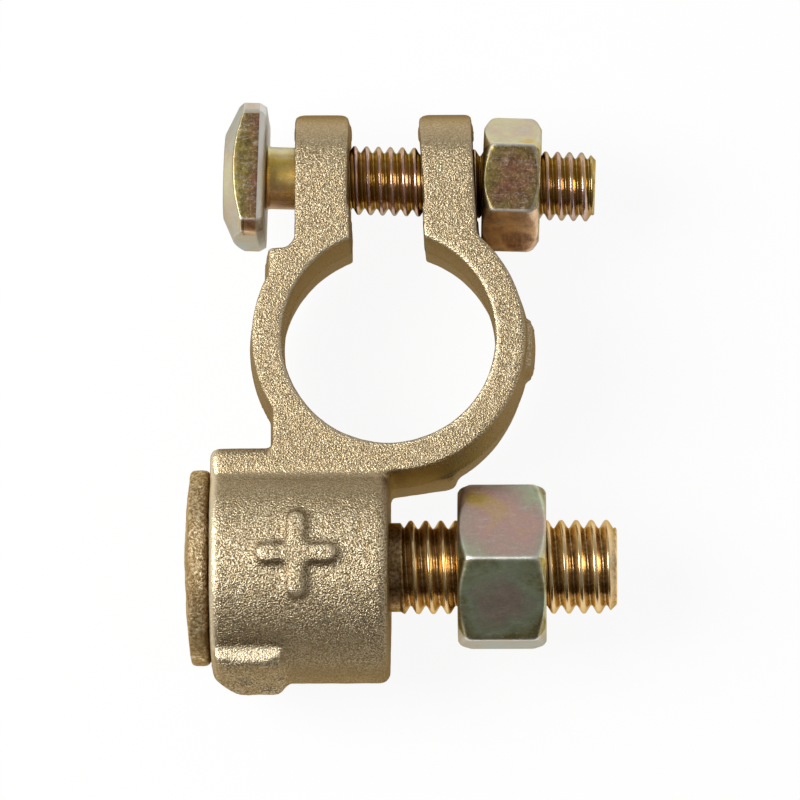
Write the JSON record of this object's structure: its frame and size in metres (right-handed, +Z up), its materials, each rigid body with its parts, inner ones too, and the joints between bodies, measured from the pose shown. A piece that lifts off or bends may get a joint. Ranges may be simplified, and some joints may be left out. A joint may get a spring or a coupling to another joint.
{
  "type": "battery terminal clamp",
  "caption": "Cast brass battery terminal clamp: split ring with two ears and a square-head pinch bolt, and a barrel with a threaded stud and nut for a cable eyelet.",
  "frame": {"origin": "on the axis of the post bore, in the parting plane of the casting, half way up the ring", "axes": "+Z up along the battery post, +X along the cable stud towards its nut, +Y from the post towards the ears"},
  "size_m": [0.036, 0.0495, 0.0201],
  "materials": {
    "cast_brass": "matt, sandy as cast",
    "turned_brass": "turned, slightly tarnished",
    "yellow_zinc": "zinc plated and yellow passivated"
  },
  "bodies": {
    "casting": {"clamp_body": "cast_brass", "cable_stud": "turned_brass"},
    "cable_nut": {"cable_nut": "yellow_zinc"},
    "pinch_bolt": {"pinch_bolt": "yellow_zinc"},
    "pinch_nut": {"pinch_nut": "yellow_zinc"}
  },
  "joints": [
    {"name": "cable_nut_slide", "type": "slide", "parent": "casting", "child": "cable_nut", "axis": [1, 0, 0], "range_m": [-0.0043, 0.0058]},
    {"name": "pinch_bolt_slide", "type": "slide", "parent": "casting", "child": "pinch_bolt", "axis": [0.9994, -0.0337, 0], "range_m": [0, 0.0021]},
    {"name": "pinch_nut_slide", "type": "slide", "parent": "pinch_bolt", "child": "pinch_nut", "axis": [0.9994, -0.0337, 0], "range_m": [0, 0.0045]}
  ]
}
